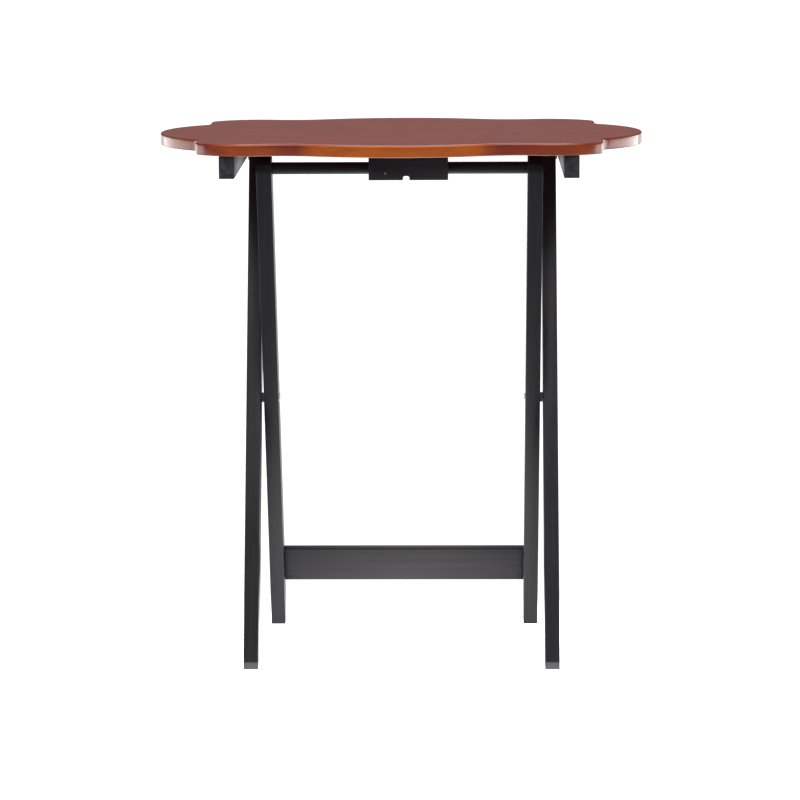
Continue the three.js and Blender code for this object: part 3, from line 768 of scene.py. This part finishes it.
for side, sign in SIDES.items():
    node = f"outer_leg_{side}"
    leg = piece(f"{node}_bar", leg_builder(-1, *x_range(node)), BLACK_OUTER, "outer_frame",
                [node], OUTER)
    low, high = sorted((sign * (OUTER_FACE - BOLT_SEAT_DEPTH), sign * (OUTER_FACE + OVERRUN)))
    carve(leg, [lambda bm: cylinder(bm, BOLT_SEAT_RADIUS, low, high, "X")], OUTER)

    node = f"pivot_nut_{side}"
    n_low, n_high = x_range(node)
    piece(f"{node}_sleeve", nut_mesh(n_high - n_low), ZINC, "outer_frame", [node],
          turned(OUTER, sign, min(abs(n_low), abs(n_high))))

    node = f"pivot_spacer_{side}"
    s_low, s_high = x_range(node)
    piece(f"{node}_ring", lambda bm: ring_mesh(bm, *SPACER_RADII, s_low, s_high), NYLON, "outer_frame",
          [node], OUTER)

    node = f"rear_washer_{side}"
    w_low, w_high = x_range(node)
    piece(f"{node}_ring", lambda bm: ring_mesh(bm, *REAR_WASHER_RADII, w_low, w_high), NYLON, "outer_frame",
          [node], OUTER @ AT_ROD)

    node = f"inner_leg_{side}"
    leg = piece(f"{node}_bar", leg_builder(1, *x_range(node)), BLACK_INNER, "inner_frame",
                [node], INNER)

    node = f"pivot_bolt_{side}"
    piece(f"{node}_hex", bolt_mesh, ZINC, "inner_frame", [node],
          turned(INNER, sign, INNER_LEG_INSIDE - GAP))

    low, high = sorted((sign * (INNER_FACE - SCREW_SINK), sign * (INNER_FACE + OVERRUN)))
    for place in ("upper", "lower"):
        node = f"stretcher_screw_{side}_{place}"
        s_low, s_high = (Vector(v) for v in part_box(node))
        middle = INNER.inverted() @ Vector((0.0, (s_low.y + s_high.y) / 2, (s_low.z + s_high.z) / 2))
        spot = (0.0, middle.z)
        carve(leg, [lambda bm: cylinder(bm, SCREW_POCKET_RADIUS, low, high, "X", spot, 40)], INNER)
        seat = Matrix.Translation((sign * (INNER_FACE - SCREW_SINK + GAP), 0.0, middle.z))
        piece(f"{node}_head", wood_screw, ZINC, "inner_frame", [node],
              INNER @ seat @ Matrix.Rotation(-sign * math.pi / 2, 4, "Y"))


def dowel(node):
    low, high = x_range(node)
    return lambda bm: cylinder(bm, ROD_RADIUS, low, high, "X", segments=64, edge=ROD_BEVEL)


piece("rear_rod_dowel", dowel("rear_rod"), BLACK_X, "outer_frame", ["rear_rod"],
      OUTER @ AT_ROD)
piece("front_rod_dowel", dowel("front_rod"), BLACK_X, "inner_frame", ["front_rod"],
      INNER @ AT_ROD)

st_low, st_high = (Vector(v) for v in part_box("lower_stretcher"))
st_middle = INNER.inverted() @ Vector((0.0, (st_low.y + st_high.y) / 2, (st_low.z + st_high.z) / 2))


def stretcher_mesh(bm):
    low = (st_low.x, -STRETCHER_HALF_THICKNESS, st_middle.z - STRETCHER_HALF_WIDTH)
    high = (st_high.x, STRETCHER_HALF_THICKNESS, st_middle.z + STRETCHER_HALF_WIDTH)
    box_mesh(bm, low, high, STRETCHER_BEVEL)


piece("lower_stretcher_board", stretcher_mesh, BLACK_STRETCHER, "inner_frame",
      ["lower_stretcher"], INNER)


# ---------------------------------------------------------------- floor, light and camera

def floor():
    """A pale floor that glows softly near the table, as a lit studio sweep does."""
    bm = bmesh.new()
    bmesh.ops.create_grid(bm, x_segments=8, y_segments=8, size=40.0)
    mesh = bpy.data.meshes.new("studio_floor")
    bm.to_mesh(mesh)
    bm.free()
    obj = bpy.data.objects.new("studio_floor", mesh)
    bpy.context.scene.collection.objects.link(obj)
    obj.location = (0.0, 0.0, cad_low[2] - 0.0004)
    mat, nodes, shader = material("pale_floor")
    coords = nodes.add("ShaderNodeTexCoord").outputs["Object"]
    length = nodes.add("ShaderNodeVectorMath", {0: coords}, operation="LENGTH").outputs["Value"]
    pool = nodes.grey(length, 0.06, 0.34, 5.2, 0.80)
    parts = nodes.add("ShaderNodeSeparateXYZ", {0: coords})
    reach = nodes.grey(parts.outputs["Y"], -1.5, -0.9)
    nodes.tree.links.new(nodes.maths("MULTIPLY", pool, reach), shader.inputs["Emission Strength"])
    shader.inputs["Emission Color"].default_value = (1.0, 1.0, 1.0, 1.0)
    shader.inputs["Base Color"].default_value = (0.38, 0.38, 0.38, 1.0)
    shader.inputs["Roughness"].default_value = 0.9
    shader.inputs["Specular IOR Level"].default_value = 0.1
    mesh.materials.append(mat)


def studio_world():
    """Soft light from in front and overhead. It is dim low down and behind the table."""
    world = bpy.data.worlds.new("studio")
    bpy.context.scene.world = world
    world.use_nodes = True
    world.node_tree.nodes.clear()
    nodes = Nodes(world.node_tree)
    direction = nodes.add("ShaderNodeTexCoord").outputs["Generated"]
    parts = nodes.add("ShaderNodeSeparateXYZ", {0: direction})
    overhead = nodes.grey(parts.outputs["Z"], 0.20, 0.75, 0.14, 0.60)
    frontal = nodes.grey(parts.outputs["Y"], -0.2, -0.75)
    raised = nodes.grey(parts.outputs["Z"], 0.22, 0.50)
    front_light = nodes.maths("MULTIPLY", nodes.maths("MULTIPLY", frontal, raised), 4.5)
    strength = nodes.maths("MAXIMUM", overhead, front_light)
    background = nodes.add("ShaderNodeBackground", {"Color": (1.0, 1.0, 1.0, 1.0), "Strength": strength})
    nodes.add("ShaderNodeOutputWorld", {"Surface": background.outputs[0]})


def softbox(name, place, target, width, height, watts):
    light = bpy.data.lights.new(name, "AREA")
    light.shape = "RECTANGLE"
    light.size = width
    light.size_y = height
    light.energy = watts
    obj = bpy.data.objects.new(name, light)
    bpy.context.scene.collection.objects.link(obj)
    obj.location = place
    obj.rotation_euler = (Vector(target) - Vector(place)).to_track_quat("-Z", "Y").to_euler()


def camera():
    yaw, pitch, roll = math.radians(-0.930), math.radians(9.355), math.radians(-0.25)
    forward = Vector((math.sin(yaw) * math.cos(pitch), math.cos(yaw) * math.cos(pitch), -math.sin(pitch)))
    level = Vector((math.cos(yaw), -math.sin(yaw), 0.0))
    upward = level.cross(forward)
    right = math.cos(roll) * level + math.sin(roll) * upward
    up = -math.sin(roll) * level + math.cos(roll) * upward
    data = bpy.data.cameras.new("camera")
    data.sensor_width = 36.0
    data.lens = 36.0 * 3534.8 / 800.0
    data.clip_end = 200.0
    obj = bpy.data.objects.new("camera", data)
    bpy.context.scene.collection.objects.link(obj)
    turn = Matrix((right, up, -forward)).transposed().to_4x4()
    obj.matrix_world = Matrix.Translation((0.0693, -4.4403, 1.0488)) @ turn
    bpy.context.scene.camera = obj


floor()
studio_world()
softbox("softbox_left", (-1.9, 0.7, 0.30), (0.0, 0.0, 0.30), 2.2, 0.6, 11.0)
softbox("softbox_right", (1.9, 0.7, 0.30), (0.0, 0.0, 0.30), 2.2, 0.6, 15.0)
softbox("softbox_overhead", (0.2, -0.9, 2.6), (0.0, 0.0, 0.6), 1.4, 1.0, 10.0)
softbox("softbox_rear", (0.0, 2.0, 2.6), (0.0, 0.1, 0.1), 1.0, 0.8, 12.0)
camera()
bpy.context.scene.view_settings.view_transform = "Standard"
